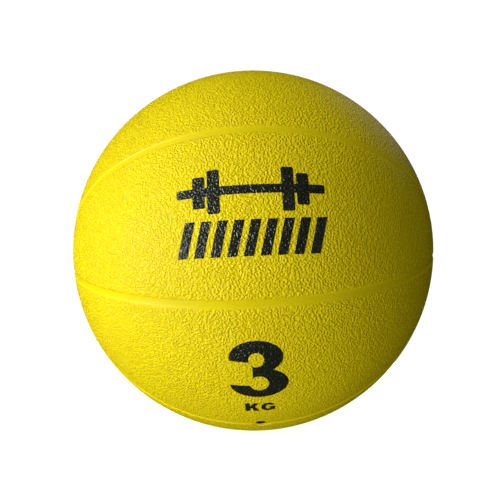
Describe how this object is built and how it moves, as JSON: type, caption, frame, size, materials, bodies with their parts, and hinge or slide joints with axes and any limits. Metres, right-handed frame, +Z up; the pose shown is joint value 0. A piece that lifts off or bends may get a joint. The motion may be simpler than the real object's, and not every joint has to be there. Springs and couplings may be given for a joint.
{
  "type": "medicine ball",
  "caption": "Inflatable rubber medicine ball with pebbled cover panels between smooth sunken seams, a heavy rubber wall round an air bladder, a needle valve and a printed weight.",
  "frame": {"origin": "centre of the ball", "axes": "+X along the pole axis, through the two points where the seams meet; -Y to the front, at the middle of the panel with the dumbbell print; +Z up"},
  "size_m": [0.2196, 0.2201, 0.22],
  "materials": {
    "cover_rubber": "satin",
    "seam_rubber": "satin",
    "heavy_rubber": "matte",
    "nylon_thread": "satin",
    "butyl_rubber": "satin",
    "valve_rubber": "satin",
    "printed_ink": "satin"
  },
  "bodies": {
    "root": {"cover_panel_1": "cover_rubber", "cover_panel_2": "cover_rubber", "cover_panel_3": "cover_rubber", "cover_panel_4": "cover_rubber", "cover_panel_5": "cover_rubber", "cover_panel_6": "cover_rubber", "cover_panel_7": "cover_rubber", "cover_panel_8": "cover_rubber", "seam_strip_1": "seam_rubber", "seam_strip_3": "seam_rubber", "seam_strip_4": "seam_rubber", "seam_strip_5": "seam_rubber", "seam_strip_6": "seam_rubber", "seam_strip_7": "seam_rubber", "seam_strip_8": "seam_rubber", "seam_strip_2_left": "seam_rubber", "seam_strip_2_right": "seam_rubber", "pole_disc_left": "seam_rubber", "pole_disc_right": "seam_rubber", "valve_collar": "seam_rubber", "weight_shell_valve_half": "heavy_rubber", "weight_shell_plain_half": "heavy_rubber", "nylon_winding": "nylon_thread", "air_bladder": "butyl_rubber", "bladder_valve_patch": "butyl_rubber", "valve_body": "butyl_rubber", "valve_core": "valve_rubber", "weight_numeral": "printed_ink", "weight_unit": "printed_ink", "dumbbell_print": "printed_ink", "bar_print": "printed_ink"}
  },
  "joints": []
}
